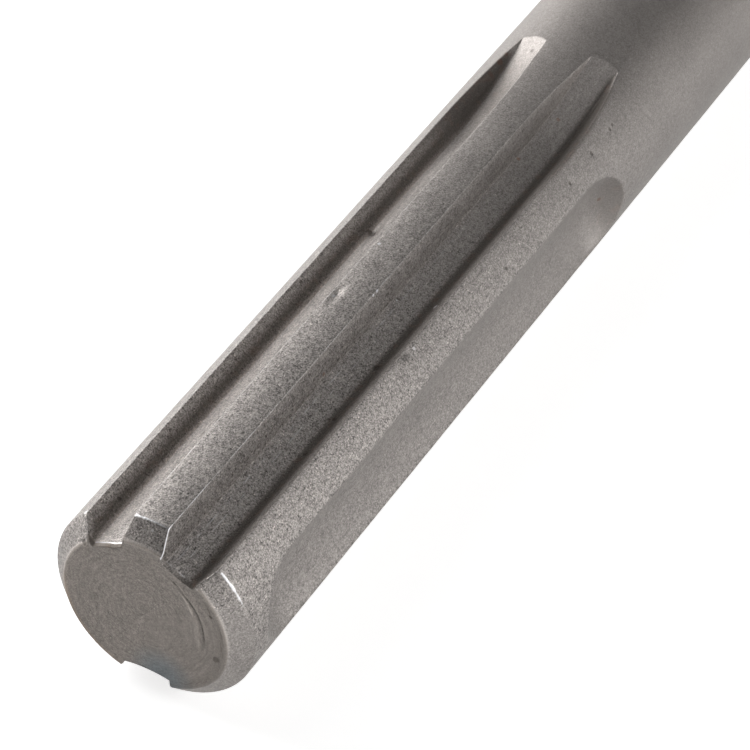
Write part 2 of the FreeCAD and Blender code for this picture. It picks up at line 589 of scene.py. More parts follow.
@dataclass(frozen=True)
class StrikingEnd:
    """The striking face, its rounded rim and the chamfer round it."""

    bar_radius: float = 9.0
    chamfer_depth: float = 1.65
    chamfer_length: float = 1.5
    rim_radius: float = 0.4
    shoulder_wear: float = 0.22
    slot_end_length: float = 0.45
    slot_end_depth: float = 0.15
    floor_reach: float = 6.95
    # Where along the rim its painted highlight is strongest.
    painted_rim_light_place: float = 0.1
    rim_steps: int = 5
    slot_end_steps: int = 6
    chamfer_steps: int = 4
    shoulder_steps: int = 6

    @property
    def face_radius(self) -> float:
        """Radius at which the chamfer would meet the striking face."""
        return self.bar_radius - self.chamfer_depth

    @property
    def chamfer_angle(self) -> float:
        """Angle of the chamfer to the axis, in radians."""
        return math.atan2(self.chamfer_depth, self.chamfer_length)

    def slot_inset(self, x: float) -> float:
        """Give how far a slot's rounded end at the face stands back from the slot."""
        share = max(0.0, 1 - x / self.slot_end_length)
        return self.slot_end_depth * (1 - math.sqrt(1 - share ** 2))

    def stations(self) -> list[Station]:
        """Give the cross-sections from the striking face to the end of the shoulder."""
        setback = self.rim_radius * math.tan((math.pi / 2 - self.chamfer_angle) / 2)
        rim_turn = math.pi / 2 - self.chamfer_angle
        result = [Station(0.0, self.face_radius - setback, self.slot_inset(0.0))]
        for turn in even_steps(0.0, rim_turn, self.rim_steps):
            x = self.rim_radius * (1 - math.cos(turn))
            radius = self.face_radius - setback + self.rim_radius * math.sin(turn)
            result.append(Station(x, radius, self.slot_inset(x)))
        slope = self.chamfer_depth / self.chamfer_length
        wear_x = self.shoulder_wear * math.cos(self.chamfer_angle)
        marks = even_steps(result[-1].x, self.slot_end_length + 0.06, self.slot_end_steps)
        marks += even_steps(marks[-1], self.chamfer_length - wear_x, self.chamfer_steps)
        for x in marks:
            result.append(Station(x, self.face_radius + slope * x, self.slot_inset(x)))
        start = Vector((result[-1].x, result[-1].radius))
        corner = Vector((self.chamfer_length, self.bar_radius))
        end = Vector((self.chamfer_length + self.shoulder_wear, self.bar_radius))
        for share in even_steps(0.0, 1.0, self.shoulder_steps):
            point = start.lerp(corner, share).lerp(corner.lerp(end, share), share)
            result.append(Station(point.x, point.y))
        return result

    def wear_and_highlight(self, x: float, angle: float) -> float:
        """Give how bright the shoulder is worn and painted with a highlight, which is most on the rib
        and at the right.

        Args:
            x: Distance from the striking face.
            angle: Angle round the bar, from -180 to 180 degrees.

        Returns:
            The wear and painted highlight, from 0 to 1.
        """
        on_rib = (1.0 - 0.15 * smooth_step(angle, -8.0, 4.0)) * smooth_step(-abs(angle), -20.0, -14.0)
        right = smooth_step(angle, 34.0, 40.0) * (1 - 0.75 * smooth_step(angle, 55.0, 72.0))
        wear = max(0.25, on_rib, right)
        return wear * max(0.0, 1 - abs(x - self.chamfer_length) / self.shoulder_wear)

    def floor_wear_and_highlight(self, x: float, place: Vector, side: int) -> float:
        """Give how bright the end of an upper slot's floor is worn and painted with a highlight, most
        at the left.

        Args:
            x: Distance from the striking face.
            place: The (y, z) point of the section.
            side: 1 for the half towards -Y, and -1 for its mirror image.

        Returns:
            The wear and painted highlight, from 0 to 1.
        """
        if place.y < 0 or place.length > self.floor_reach:
            return 0.0
        return bell(x, self.slot_end_length - 0.03, 0.08) * (0.95 if side < 0 else 0.6)

    def painted_rim_light(self, x: float, place: Vector) -> float:
        """Give how much lighter the rim is painted, which is most at the top: a painted highlight
        along the rim.
        """
        return 1.3 * bell(x, self.painted_rim_light_place, 0.08) * smooth_step(place.y, -4.0, 3.0)

    def finish(self, x: float, milled: float, side: int) -> float:
        """Give how much the striking face's finish reaches round the rim, or a slot's end.

        Args:
            x: Distance from the striking face.
            milled: How much the place lies on a slot's surface, from 0 to 1.
            side: 1 for the half towards -Y, and -1 for its mirror image.

        Returns:
            The finish, from 0 to 1.
        """
        on_rim = 1 - smooth_step(x, 0.05, 0.16)
        on_slot = 1 - smooth_step(x, self.slot_end_length - 0.1, self.slot_end_length + 0.02)
        if side > 0:
            on_slot *= 0.35
        return on_rim + (on_slot - on_rim) * milled


@dataclass(frozen=True)
class Dent:
    """A dent pressed into the surface.

    Attributes:
        x: Distance from the striking face.
        angle: Angle round the bar.
        radius: Distance of its middle from the axis.
        half_width: Half the width of the dent across the bar.
        half_length: Half its length along the bar.
        depth: How deep it goes.
        slant: Turn of the dent's long side away from the bar's axis, in degrees.
        reach: How far it reaches outwards and inwards.
    """

    x: float
    angle: float
    radius: float
    half_width: float
    half_length: float
    depth: float
    slant: float = 0.0
    reach: float = 1.0

    def depth_at(self, x: float, place: Vector) -> float:
        """Give how deep the dent is at a point of the surface."""
        along = x - self.x
        middle = outward(self.angle) * self.radius
        offset = place - middle
        if abs(along) > 6.0 or offset.length > 4.0:
            return 0.0
        side = offset.dot(across(self.angle))
        out = offset.dot(outward(self.angle))
        turn = math.radians(self.slant)
        long_way = along * math.cos(turn) + side * math.sin(turn)
        short_way = side * math.cos(turn) - along * math.sin(turn)
        falloff = (long_way / self.half_length) ** 2 + (short_way / self.half_width) ** 2
        falloff += (out / self.reach) ** 2
        return self.depth * math.exp(-falloff) if falloff < 9 else 0.0


@dataclass(frozen=True)
class ColumnPlan:
    """How many spaces of the mesh each stretch of half the cross-section takes."""

    rib: int = 7
    outer_edge: int = 4
    flank: int = 5
    inner_corner: int = 5
    floor: int = 8
    narrow_land: int = 12
    groove_edge: int = 4
    groove: int = 22
    wide_land: int = 16
    last_land: int = 2
    lower_floor: int = 8

    @property
    def wall(self) -> int:
        """Spaces of a slot's outer edge, flank and inner corner."""
        return self.outer_edge + self.flank + self.inner_corner

    @property
    def total(self) -> int:
        """Spaces of half the cross-section."""
        lands = self.rib + self.narrow_land + self.wide_land + self.last_land
        slots = 3 * self.wall + self.floor + self.lower_floor
        return lands + slots + 2 * self.groove_edge + self.groove


@dataclass(frozen=True)
class HalfWear:
    """How one half of the shank's section is worn, soiled and painted with light and shade.

    Attributes:
        side: 1 for the half towards -Y, and -1 for its mirror image.
        seed: Seed of the uneven wear of its edges.
        rib_start: How bright the rib's edge is worn and painted with a highlight at the striking end,
            from 0 to 1.
        rib_end: How bright it is at the slot's end.
        outer: How bright the slot's other edge is worn and painted with a highlight.
        shade_and_dirt_start: Where the soiling and painted shade start, as a distance up the slot's
            outer flank.
        corner: How bright the rib's edge is worn and painted with a highlight on the chamfer.
        painted_light: How much painted light lightens the slot's floor, where the outer flank's
            shadow falls.
        end_darkening: How much the slot's floor is darkened at its rounded end at the striking face.
        end_start: Where across the floor that darkening starts, from 0 at the rib's side to 1.
        exit_darkening: How much the slot is darkened where its floor rises.
    """

    side: int
    seed: float
    rib_start: float
    rib_end: float
    outer: float
    shade_and_dirt_start: float
    corner: float
    painted_light: float
    end_darkening: float
    end_start: float
    exit_darkening: float
    chamfer_range: tuple[float, float] = (1.5, 2.1)
    rib_range: tuple[float, float] = (5.0, 45.0)
    rib_fade: tuple[float, float] = (45.0, 59.0)
    end_range: tuple[float, float] = (0.26, 0.36)
    exit_middle: float = 62.5
    exit_width: float = 4.5
    run_out_start: tuple[float, float] = (50.0, 60.0)
    run_out_end: tuple[float, float] = (67.0, 68.3)

    def rib(self, x: float) -> float:
        """Give how bright the rib's edge is worn and painted with a highlight at x."""
        along = self.rib_start + (self.rib_end - self.rib_start) * smooth_step(x, *self.rib_range)
        along *= 1 - 0.85 * smooth_step(x, *self.rib_fade)
        return along + (self.corner - along) * (1 - smooth_step(x, *self.chamfer_range))

    def run_out(self, x: float) -> float:
        """Give how much x lies where the slot's outer flank runs out and is painted dark, as soiling
        and painted shade over the flank's highlights.
        """
        return smooth_step(x, *self.run_out_start) * (1 - smooth_step(x, *self.run_out_end))


@dataclass(frozen=True)
class Crescent:
    """The crescent lip that the facing tool left on the striking face.

    Attributes:
        ridge: Radius of its ridge at the upper end.
        ridge_drop: How far inwards the ridge runs.
        ridge_turn: Angles over which it does.
        furrow: Radius of the furrow outside the ridge.
        furrow_drop: How far inwards the furrow runs.
        furrow_turn: Angles over which it does.
        least_gap: Least distance between the two.
        bank_gap: Distance from the furrow to the low bank outside it.
        upper_end: Angles over which the lip begins.
        lower_end: Angles over which it ends.
    """

    ridge: float = 5.6
    ridge_drop: float = 0.68
    ridge_turn: tuple[float, float] = (18.0, 70.0)
    ridge_width: float = 0.11
    furrow: float = 5.43
    furrow_drop: float = 0.1
    furrow_turn: tuple[float, float] = (50.0, 90.0)
    furrow_width: float = 0.1
    least_gap: float = 0.12
    bank_gap: float = 0.2
    bank_width: float = 0.09
    bank_height: float = 0.5
    upper_end: tuple[float, float] = (14.0, 30.0)
    lower_end: tuple[float, float] = (86.0, 108.0)

    def height(self, place: Vector) -> float:
        """Give the lip's shape at a (y, z) point of the face.

        Args:
            place: The point.

        Returns:
            1 on its ridge, -1 in the furrow outside it, and 0 away from both.
        """
        radius = place.length
        angle = angle_of(place)
        span = smooth_step(angle, *self.upper_end) * (1 - smooth_step(angle, *self.lower_end))
        ridge = self.ridge - self.ridge_drop * smooth_step(angle, *self.ridge_turn)
        furrow = self.furrow - self.furrow_drop * smooth_step(angle, *self.furrow_turn)
        furrow = max(ridge + self.least_gap, furrow)
        shape = bell(radius, ridge, self.ridge_width) - bell(radius, furrow, self.furrow_width)
        bank = self.bank_height * bell(radius, furrow + self.bank_gap, self.bank_width)
        return span * (shape + bank)


@dataclass
class ChiselBody:
    """The whole chisel as one closed mesh, made of rings that follow its edges.

    The rings run from the middle of the striking face outwards, along the bar and in to the
    middle of the tip. The lines along the bar follow the edges of the slots and grooves.
    """

    striking_end: StrikingEnd = field(default_factory=StrikingEnd)
    groove: LockGroove = field(default_factory=LockGroove)
    point: PointTaper = field(default_factory=PointTaper)
    plan: ColumnPlan = field(default_factory=ColumnPlan)
    upper_slot: MilledSlot = MilledSlot(
        angle=25.6, width=4.88, depth=2.3, near_flank_angle=35.5, far_flank_angle=22.0,
        near_fillet=0.04, far_fillet=0.6, exit_angle=6.5)
    lower_slot: MilledSlot = MilledSlot(
        angle=180.0, width=4.35, depth=2.93, near_flank_angle=2.0, far_flank_angle=2.0,
        near_fillet=0.06, far_fillet=0.06, exit_angle=180.0, hollow_radius=9.0)
    # Each half's edge wear and painted highlights, soiling and painted shade in the slots, and
    # painted light on the left slot's floor.
    right_half: HalfWear = HalfWear(
        side=1, seed=2.1, rib_start=0.7, rib_end=0.5, outer=0.15, shade_and_dirt_start=-0.6, corner=1.0,
        painted_light=0.0, end_darkening=0.6, end_start=0.3, exit_darkening=0.0)
    left_half: HalfWear = HalfWear(
        side=-1, seed=5.6, rib_start=0.85, rib_end=0.6, outer=0.2, shade_and_dirt_start=0.15, corner=0.35,
        painted_light=1.15, end_darkening=0.55, end_start=-1.0, exit_darkening=0.4)
    crescent: Crescent = Crescent()
    far_edge_seed: float = 3.7
    lower_seed: float = 11.3
    lower_wear_and_highlight: float = 0.2
    left_flank_angle: float = 19.5
    left_fillet: float = 0.08
    exit_fillet_loss: float = 0.4
    exit_narrowing: tuple[float, float] = (55.0, 65.0)
    mouth_range: tuple[float, float] = (1.5, 6.0)
    mouth_slopes: tuple[float, float] = (28.0, 8.0)
    bar_radius: float = 9.0
    edge_wear: float = 0.07
    least_flank: float = 0.3
    groove_half_edge: float = 2.0
    last_land: float = 158.0
    join_angles: tuple[float, ...] = (120.0, 149.0, 158.5, 163.0)
    shank_from: float = 1.8
    groove_margin: float = 0.32
    exit_reach: float = 1.4
    exit_margin: float = 0.1
    plain_from: float = 72.0
    even_range: tuple[float, float] = (85.0, 215.0)
    grain_end: float = 92.0
    flats_range: tuple[float, float] = (222.0, 242.0)
    tip_margin: float = 0.2
    end_margin: float = 0.06
    face_circle: float = 5.8
    face_lip_start: float = 4.8
    face_rings: int = 24
    face_depth: float = 0.04
    dents: tuple[Dent, ...] = (
        Dent(30.7, -6.5, 9.0, 0.35, 0.9, 0.22),
        Dent(29.5, 42.0, 8.9, 0.35, 0.45, 0.22),
        Dent(36.2, 40.5, 7.9, 0.3, 0.4, 0.15),
        Dent(42.3, -38.5, 6.9, 0.25, 0.8, 0.2),
        Dent(44.5, 55.1, 9.0, 0.3, 0.5, 0.1, 30.0),
        Dent(56.5, 52.3, 9.0, 0.3, 0.5, 0.1, -25.0),
        Dent(60.7, 50.2, 9.0, 0.25, 0.4, 0.12),
        Dent(64.2, 49.5, 9.0, 0.2, 0.8, 0.12, 12.0),
        Dent(69.5, 61.8, 9.0, 0.18, 1.1, 0.06, 52.0),
        Dent(3.4, 51.0, 9.0, 0.25, 1.9, 0.07, 27.0),
        Dent(81.5, 44.8, 9.0, 0.35, 0.6, 0.04, 40.0),
        Dent(82.0, 39.5, 9.0, 0.3, 0.5, 0.04, -30.0),
        Dent(35.7, 1.4, 9.0, 0.5, 0.8, 0.04),
        Dent(0.1, -46.5, 7.5, 0.35, 0.4, 0.15),
        Dent(0.1, -23.4, 6.7, 0.3, 0.4, 0.12),
        Dent(0.25, 31.0, 6.75, 0.75, 0.3, 0.16),
    )

    def wear(self, x: float, seed: float) -> float:
        """Give how far an outer edge is worn back at x; each edge has its own seed."""
        coarse = noise.noise((x / 3.1, seed, 0.3))
        fine = noise.noise((x / 0.7, seed, 7.9))
        at_chamfer = 1 - smooth_step(x, 1.4, 2.0)
        return self.edge_wear * (1.0 + 0.7 * coarse + 0.6 * fine + 1.2 * at_chamfer)

    def mouth_slot(self, x: float) -> MilledSlot:
        """Give the lower slot as its left flank is at x, which opens wider towards the face."""
        slot = self.lower_slot
        start, end = self.mouth_slopes
        angle = start + (end - start) * smooth_step(x, *self.mouth_range)
        foot = slot.floor_ends()[1]
        rise = math.sqrt(slot.bar_radius ** 2 - foot ** 2) - slot.floor_height - 0.5
        return replace(slot, near_flank_angle=angle, far_flank_angle=angle,
                       width=2 * (foot + rise * math.tan(math.radians(angle))))

    def bar_arc(self, x: float, radius: float, start: float, end: float, count: int) -> list[Node]:
        """Give nodes on the bar's round surface, from after the start angle to the end angle."""
        return [Node(x, outward(angle) * radius) for angle in even_steps(start, end, count)]

    def slot_nodes(self, slot: MilledSlot, station: Station, half: HalfWear,
                   arc: tuple[float, int], whole: bool) -> tuple[list[Node], float]:
        """Give the nodes of the land before a slot, and of the slot.

        Args:
            slot: The slot.
            station: The cross-section.
            half: How the slot and its edges are worn, soiled and painted with light and shade.
            arc: Angle at which the land before the slot starts, and its number of nodes.
            whole: Whether the whole slot is given, or only the half up to its middle.

        Returns:
            The nodes, and the angle of the last one.
        """
        plan = self.plan
        x, radius = station.x, station.radius
        path = slot.path(x, radius)
        point_at, length = path.sampler()
        open_share = 1.0 if x < slot.length else 0.0
        end_darkening = half.end_darkening * (1 - smooth_step(x, *half.end_range))
        exit_darkening = half.exit_darkening * bell(x, half.exit_middle, half.exit_width)
        run_out = half.run_out(x)

        def surface(place: Vector, mark: float) -> Node:
            """Give the node of the slot's surface at a distance along its path."""
            at_end = end_darkening * smooth_step(path.across_floor(mark), half.end_start,
                                            half.end_start + 0.25)
            # Painted shade, with soiling, on the outer flank where it runs out, darkening the flank's
            # highlights there.
            run_out_shade = 0.75 * run_out * smooth_step(mark - path.far_corner, 0.0, 0.25)
            dirt_and_shade = max(at_end, exit_darkening, run_out_shade, path.grime_and_shade(mark, length, half.shade_and_dirt_start))
            return Node(x, place, milled=open_share, painted_shade_and_dirt=open_share * dirt_and_shade,
                        painted_light=open_share * half.painted_light * path.painted_floor_light(mark, x))

        def along(start: float, end: float, count: int) -> list[Node]:
            """Give nodes on the slot's surface, from after one distance to another."""
            return [surface(point_at(mark), mark) for mark in even_steps(start, end, count)]

        def fillet(corner: float, back: float) -> list[Node]:
            """Give the nodes of the fillet at a flank's foot."""
            ends = (point_at(corner - back), point_at(corner), point_at(corner + back))
            return [surface(place, corner + (2 * share - 1) * back)
                    for place, share in rounded(*ends, plan.inner_corner)]

        def worn(start: Vector, corner: Vector, end: Vector, bright: float,
                 dirt_and_shade: float = 0.0) -> list[Node]:
            """Give the nodes of a worn outer edge, painted with a highlight, with painted shade and
            soiling where given.
            """
            return [Node(x, place, edge=open_share * bright * (1 - 0.75 * abs(2 * share - 1)),
                         milled=0.5 * open_share, painted_shade_and_dirt=open_share * dirt_and_shade)
                    for place, share in rounded(start, corner, end, plan.outer_edge)]

        wear = min(self.wear(x, half.seed), 0.4 * self.least_flank + 0.05)
        near_edge = point_at(0.0)
        near_angle = angle_of(near_edge) % 360.0
        near_corner = max(path.near_corner, self.least_flank)
        near_back = min(slot.setback(slot.near_flank_angle, slot.near_fillet), 0.4 * near_corner)
        nodes = self.bar_arc(x, radius, arc[0], near_angle - math.degrees(wear / radius), arc[1])
        nodes += worn(nodes[-1].place, near_edge, point_at(wear), half.rib(x))
        nodes += along(wear, near_corner - near_back, plan.flank)
        nodes += fillet(near_corner, near_back)
        if not whole:
            return nodes + along(near_corner + near_back, length / 2, plan.lower_floor), 180.0
        far_corner = length - max(length - path.far_corner, self.least_flank)
        far_back = min(slot.setback(slot.far_flank_angle, slot.far_fillet),
                       0.4 * (length - far_corner))
        far_wear = min(self.wear(x, half.seed + self.far_edge_seed), 0.4 * self.least_flank + 0.05)
        nodes += along(near_corner + near_back, far_corner - far_back, plan.floor)
        nodes += fillet(far_corner, far_back)
        nodes += along(far_corner + far_back, length - far_wear, plan.flank)
        far_edge = point_at(length)
        land_angle = angle_of(far_edge) % 360.0 + math.degrees(far_wear / radius)
        # The outer edge's painted highlight is darkened by painted shade where the flank runs out.
        nodes += worn(nodes[-1].place, far_edge, outward(land_angle) * radius, half.outer,
                      0.6 * run_out)
        return nodes, land_angle

    def groove_angles(self, land_start: float) -> list[float]:
        """Give the grid's angles after a land's start, up to the lower slot's own land."""
        plan, edge = self.plan, self.groove_half_edge
        half = math.degrees(self.groove.half_turn)
        first, last = self.groove.angle - half, self.groove.angle + half
        return stretches(land_start, (first - edge, plan.narrow_land),
                         (first + edge, plan.groove_edge), (last - edge, plan.groove),
                         (last + edge, plan.groove_edge), (self.last_land, plan.wide_land))

    def half_section(self, station: Station, half: HalfWear) -> list[Node]:
        """Give the nodes of half a cross-section, from the rib down to the lower slot's middle.

        Args:
            station: The cross-section.
            half: The wear of this half.

        Returns:
            The nodes, the first on top of the rib and the last in the middle of the lower slot.
        """
        x, radius = station.x, station.radius
        nodes = [Node(x, outward(0.0) * radius)]
        slot = self.upper_slot
        if half.side < 0:
            slot = replace(slot, far_flank_angle=self.left_flank_angle, far_fillet=self.left_fillet)
        else:
            narrowing = self.exit_fillet_loss * smooth_step(x, *self.exit_narrowing)
            slot = replace(slot, far_fillet=slot.far_fillet - narrowing)
        slot = slot.opened(station.inset)
        upper, land_start = self.slot_nodes(slot, station, half, (0.0, self.plan.rib), True)
        nodes += upper
        nodes += [self.groove.node(x, angle, radius) for angle in self.groove_angles(land_start)]
        slot = self.lower_slot if half.side > 0 else self.mouth_slot(x)
        bright = self.lower_wear_and_highlight
        edges = replace(half, seed=half.seed + self.lower_seed, rib_start=bright, rib_end=bright,
                        corner=bright, painted_light=0.0, end_darkening=0.0, exit_darkening=0.0)
        land = (self.last_land, self.plan.last_land)
        lower, _ = self.slot_nodes(slot, station, edges, land, False)
        return nodes + lower

    def ring(self, station: Station) -> list[Node]:
        """Give the closed ring of a cross-section, its first node repeated at the end."""
        striking_end = self.striking_end
        halves = []
        for half in (self.right_half, self.left_half):
            nodes = []
            for node in self.half_section(station, half):
                place = Vector((half.side * node.place.x, node.place.y))
                slotted = min(1.0, 2 * node.milled)
                # The shoulder's and slot ends' wear and painted highlights, and the rim's painted
                # highlight.
                wear_and_highlight = striking_end.wear_and_highlight(node.x, angle_of(place)) * (1 - slotted)
                wear_and_highlight = max(wear_and_highlight, striking_end.floor_wear_and_highlight(node.x, place, half.side))
                finish = striking_end.finish(node.x, slotted, half.side)
                painted_light = max(node.painted_light, striking_end.painted_rim_light(node.x, place) * (1 - slotted))
                nodes.append(replace(node, place=place, edge=max(node.edge, wear_and_highlight), face=finish,
                                     painted_light=painted_light))
            halves.append(nodes)
        return halves[0] + halves[1][::-1][1:]

    def plain_ring(self, x: float, model: list[Node]) -> list[Node]:
        """Give a ring of the round bar or the point.

        Args:
            x: Distance from the striking face.
            model: The last ring of the shank, whose angles the first plain rings keep.

        Returns:
            The ring.
        """
        even = smooth_step(x, *self.even_range)
        result = []
        for index, node in enumerate(model):
            kept = angle_of(node.place) % 360.0
            if index == len(model) - 1:
                kept = 360.0
            angle = kept + (360.0 * index / (len(model) - 1) - kept) * even
            result.append(self.point.node(x, angle))
        return result

    def face_target(self, index: int, nodes: list[Node]) -> float:
        """Give the angle on the face's inner circle that an outline node is joined to."""
        half, wall = self.plan.total, self.plan.wall
        mirrored = index > half
        column = 2 * half - index if mirrored else index
        angle = angle_of(nodes[index].place) % 360.0
        if mirrored:
            angle = 360.0 - angle
        lower = half - wall - self.plan.lower_floor
        if index == 2 * half:
            angle = 0.0
        first, edge_angle, corner_angle, outline_edge = self.join_angles
        if column > lower + wall:
            share = (column - lower - wall) / self.plan.lower_floor
            angle = corner_angle + (180.0 - corner_angle) * share
        elif column >= lower:
            angle = edge_angle + (corner_angle - edge_angle) * (column - lower) / wall
        elif angle > first:
            angle = first + (angle - first) * (edge_angle - first) / (outline_edge - first)
        return 360.0 - angle if mirrored else angle

    def face_relief(self, place: Vector) -> float:
        """Give how far the turned striking face stands back at a point."""
        ripple = noise.noise((place.x / 0.9, place.y / 0.9, 4.4))
        depth = self.face_depth
        return max(0.0, depth - depth * self.crescent.height(place) + 0.008 * ripple)

    def face_grid(self, outline: list[Node]) -> list[list[Node]]:
        """Give the rings of the striking face, from its middle to just inside its outline."""
        targets = [outward(self.face_target(index, outline)) * self.face_circle
                   for index in range(len(outline))]
        lip_start = self.face_lip_start / self.face_circle
        shares = stretches(0.0, (lip_start, 7), (1.0, self.face_rings - 13))
        rings = [[target * share for target in targets] for share in [0.0] + shares]
        rings += [[target.lerp(node.place, share) for target, node in zip(targets, outline)]
                  for share in (0.3, 0.55, 0.75, 0.88, 0.95)]
        relieved = []
        for number, ring in enumerate(rings):
            fade = 1 - smooth_step(number, len(rings) - 4, len(rings))
            relieved.append([Node(self.face_relief(place) * fade, place, face=1.0,
                                  lip=self.crescent.height(place) * fade) for place in ring])
        return relieved

    def shank_marks(self) -> list[float]:
        """Give the places of the cross-sections between the shoulder and the plain bar."""
        near, margin = self.groove.start, self.groove_margin
        far = near + self.groove.length
        end = self.upper_slot.length
        return stretches(self.shank_from, (near - margin, 4), (near + margin, 7),
                         (far - margin, 172), (far + margin, 7), (end - self.exit_reach, 13),
                         (end + self.exit_margin, 15), (self.plain_from, 4))

    def bar_marks(self) -> list[float]:
        """Give the places of the cross-sections of the plain bar and the point."""
        first_flat, last_round = self.flats_range
        tip, margin = self.point.tip_start, self.tip_margin
        return stretches(self.plain_from, (self.grain_end, 20), (first_flat, 13),
                         (last_round, 34), (tip - margin, 10), (tip + margin, 3),
                         (self.point.overall_length - self.end_margin, 5))

    def rings(self) -> list[list[Node]]:
        """Give every ring of the mesh, from the middle of the face to the middle of the tip."""
        end_rings = [self.ring(station) for station in self.striking_end.stations()]
        rings = self.face_grid(end_rings[0]) + end_rings
        for x in self.shank_marks():
            rings.append(self.ring(Station(x, self.bar_radius)))
        model = rings[-1]
        for x in self.bar_marks():
            rings.append(self.plain_ring(x, model))
        last = rings[-1]
        length = self.point.overall_length
        for share in (0.9, 0.5, 0.0):
            rings.append([Node(length, node.place * share) for node in last])
        return rings

    def dented(self, node: Node, outer: bool) -> Vector:
        """Give a node's final place in metres, with dents and the forging's faint waves in it.

        Args:
            node: The node.
            outer: Whether it lies on the bar's outside, where dents go in towards the axis.

        Returns:
            The place of its vertex.
        """
        depth = sum(dent.depth_at(node.x, node.place) for dent in self.dents)
        x, place = node.x, node.place
        if outer:
            spot = (x / 2.6, place.x / 2.6, place.y / 2.6)
            fine = (x / 0.8, place.x / 0.8, place.y / 0.8)
            waves = 0.012 * (1 + noise.noise(spot)) + 0.006 * (1 + noise.noise(fine))
            depth += waves
            if place.length > 1.0:
                place = place - place.normalized() * depth
        else:
            x += depth
        return Vector((x, place.x, place.y)) * MILLIMETRE

    def build(self) -> bpy.types.Object:
        """Make the mesh from a grid that is rolled into a closed tube.

        Returns:
            The chisel's object, in metres, at the origin.
        """
        rings = self.rings()
        columns = len(rings[0]) - 1
        face_count = self.face_rings
        mesh = bmesh.new()
        bmesh.ops.create_grid(mesh, x_segments=columns, y_segments=len(rings) - 1, size=0.5)
        layers = {name: mesh.verts.layers.float.new(name) for name in ATTRIBUTES}
        for vertex in mesh.verts:
            column = round((vertex.co.x + 0.5) * columns)
            row = round((vertex.co.y + 0.5) * (len(rings) - 1))
            node = rings[row][column]
            vertex.co = self.dented(node, row >= face_count)
            for name, layer in layers.items():
                vertex[layer] = getattr(node, name)
        bmesh.ops.remove_doubles(mesh, verts=mesh.verts[:], dist=1e-7)
        bmesh.ops.recalc_face_normals(mesh, faces=mesh.faces[:])
        for face in mesh.faces:
            face.smooth = True
        return finished_object(mesh, "chisel_body")


def finished_object(mesh: bmesh.types.BMesh, name: str) -> bpy.types.Object:
    """Turn a bmesh into an object of the scene.

    Args:
        mesh: The mesh, which is freed.
        name: The object's name.

    Returns:
        The object, at the origin.
    """
    data = bpy.data.meshes.new(name)
    mesh.to_mesh(data)
    mesh.free()
    item = bpy.data.objects.new(name, data)
    bpy.context.scene.collection.objects.link(item)
    return item


def operator(operation: str, reflected: bool = False) -> Callable[["Value", object], "Value"]:
    """Make an operator of Value from a Math node's operation.

    Args:
        operation: The Math node's operation.
        reflected: Whether the other value comes first.

    Returns:
        The operator's method.
    """
    def applied(value: "Value", other: object) -> "Value":
        """Add the Math node."""
        terms = (other, value) if reflected else (value, other)
        return value.nodes.math(operation, *terms)

    return applied


class Value:
    """A shader socket that sums and products can be written with."""

    def __init__(self, nodes: "NodeBench", socket: bpy.types.NodeSocket) -> None:
        """Keep the socket and the bench that its nodes are made on."""
        self.nodes = nodes
        self.socket = socket

    def math(self, operation: str, *others: "Value | float") -> "Value":
        """Give the result of a Math node whose first input is this value."""
        return self.nodes.math(operation, self, *others)

    __add__ = operator("ADD")
    __radd__ = operator("ADD", True)
    __sub__ = operator("SUBTRACT")
    __rsub__ = operator("SUBTRACT", True)
    __mul__ = operator("MULTIPLY")
    __rmul__ = operator("MULTIPLY", True)
    __pow__ = operator("POWER")

    def step(self, low: float, high: float) -> "Value":
        """Give a smooth rise from 0 at low to 1 at high, or a fall where low is the greater."""
        if low > high:
            return 1.0 - self.step(high, low)
        node = self.nodes.node("ShaderNodeMapRange", {"interpolation_type": "SMOOTHSTEP"},
                               {"Value": self, "From Min": low, "From Max": high})
        return Value(self.nodes, node.outputs["Result"])


